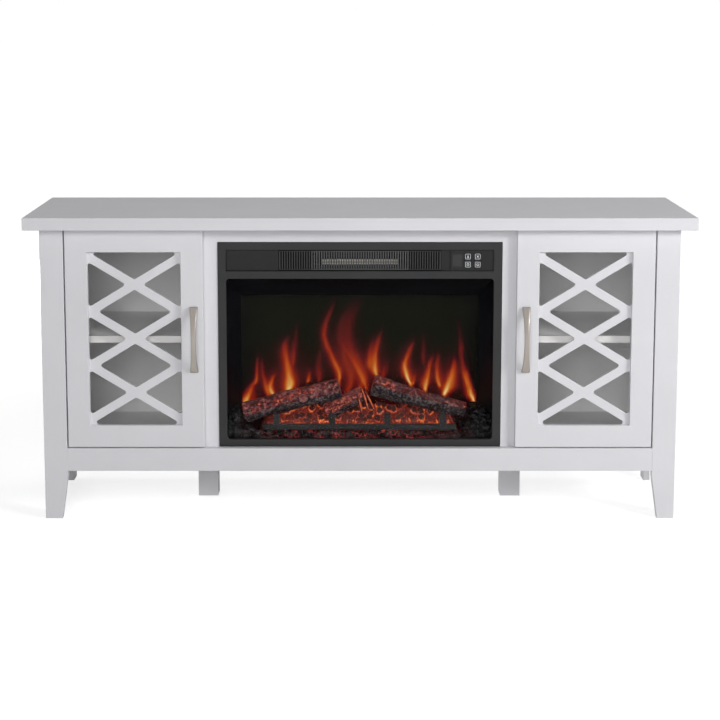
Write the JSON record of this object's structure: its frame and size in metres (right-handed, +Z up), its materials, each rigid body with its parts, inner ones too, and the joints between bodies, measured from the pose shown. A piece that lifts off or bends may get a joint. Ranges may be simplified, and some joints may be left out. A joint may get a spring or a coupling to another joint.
{
  "type": "fireplace tv stand",
  "caption": "Low white media cabinet with an electric fireplace insert in its middle bay, between two lattice-front doors with bow handles, on short tapered feet.",
  "frame": {"origin": "on the floor, under the middle of the top panel", "axes": "+X along the width to the viewer's right, +Y from the front to the back, +Z up"},
  "size_m": [1.473, 0.394, 0.684],
  "materials": {
    "white_paint": "painted fibreboard",
    "brushed_nickel": "satin nickel",
    "zinc_steel": "zinc plated",
    "black_metal": "black powder coat",
    "black_plastic": "matt black",
    "gloss_black": "gloss black",
    "rubber": "plain",
    "clear_glass": "clear",
    "circuit_board": "laminate",
    "flame_screen": "translucent, lit",
    "coal": "moulded resin",
    "ember": "translucent resin, lit",
    "log": "painted resin",
    "heater": "finned",
    "bare_aluminium": "bare"
  },
  "bodies": {
    "cabinet": {"top_panel": "white_paint", "left_side_panel": "white_paint", "right_side_panel": "white_paint", "left_divider": "white_paint", "right_divider": "white_paint", "bottom_panel": "white_paint", "left_front_post": "white_paint", "right_front_post": "white_paint", "front_apron": "white_paint", "header_rail": "white_paint", "left_filler_strip": "white_paint", "right_filler_strip": "white_paint", "left_back_panel": "white_paint", "right_back_panel": "white_paint", "left_middle_leg": "white_paint", "right_middle_leg": "white_paint", "left_shelf": "white_paint", "right_shelf": "white_paint", "shelf_pins": "zinc_steel", "left_hinge_arms": "zinc_steel", "right_hinge_arms": "zinc_steel", "blower_motor": "zinc_steel", "flicker_motor": "zinc_steel", "insert_bezel": "black_metal", "insert_case": "black_metal", "rear_cover": "black_metal", "firebox_liner": "black_metal", "grate": "black_metal", "heater_grille": "black_plastic", "blank_panel": "black_plastic", "control_panel": "black_plastic", "display_window": "gloss_black", "door_bumpers": "rubber", "cord_gland": "rubber", "window_glass": "clear_glass", "control_board": "circuit_board", "led_board": "circuit_board", "flame_screen": "flame_screen", "coal_bed": "coal", "ember_bed": "ember", "left_log": "log", "right_log": "log", "middle_log": "log", "heater_element": "heater"},
    "left_door": {"left_door_frame": "white_paint", "left_door_lattice": "white_paint", "left_door_handle": "brushed_nickel", "left_hinge_cups": "zinc_steel", "left_hinge_pins": "zinc_steel"},
    "right_door": {"right_door_frame": "white_paint", "right_door_lattice": "white_paint", "right_door_handle": "brushed_nickel", "right_hinge_cups": "zinc_steel", "right_hinge_pins": "zinc_steel"},
    "blower": {"blower_wheel": "bare_aluminium"},
    "flicker": {"flicker_rotor": "bare_aluminium"},
    "flame_key": {"flame_button": "gloss_black"},
    "heat_key": {"heat_button": "gloss_black"},
    "timer_key": {"timer_button": "gloss_black"},
    "power_key": {"power_button": "gloss_black"}
  },
  "joints": [
    {"name": "left_door_hinge", "type": "hinge", "parent": "cabinet", "child": "left_door", "pos_m": [-0.6335, -0.1565, 0.409], "axis": [0, 0, -1], "range_deg": [0, 95]},
    {"name": "right_door_hinge", "type": "hinge", "parent": "cabinet", "child": "right_door", "pos_m": [0.6335, -0.1565, 0.409], "axis": [0, 0, 1], "range_deg": [0, 95]},
    {"name": "blower_spin", "type": "hinge", "parent": "cabinet", "child": "blower", "pos_m": [0, -0.066, 0.5848], "axis": [1, 0, 0], "continuous": true},
    {"name": "flicker_spin", "type": "hinge", "parent": "cabinet", "child": "flicker", "pos_m": [0, 0.001, 0.2027], "axis": [1, 0, 0], "continuous": true},
    {"name": "flame_press", "type": "slide", "parent": "cabinet", "child": "flame_key", "axis": [0, 1, 0], "range_m": [0, 0.001], "stiffness_N_per_m": 400},
    {"name": "heat_press", "type": "slide", "parent": "cabinet", "child": "heat_key", "axis": [0, 1, 0], "range_m": [0, 0.001], "stiffness_N_per_m": 400},
    {"name": "timer_press", "type": "slide", "parent": "cabinet", "child": "timer_key", "axis": [0, 1, 0], "range_m": [0, 0.001], "stiffness_N_per_m": 400},
    {"name": "power_press", "type": "slide", "parent": "cabinet", "child": "power_key", "axis": [0, 1, 0], "range_m": [0, 0.001], "stiffness_N_per_m": 400}
  ]
}
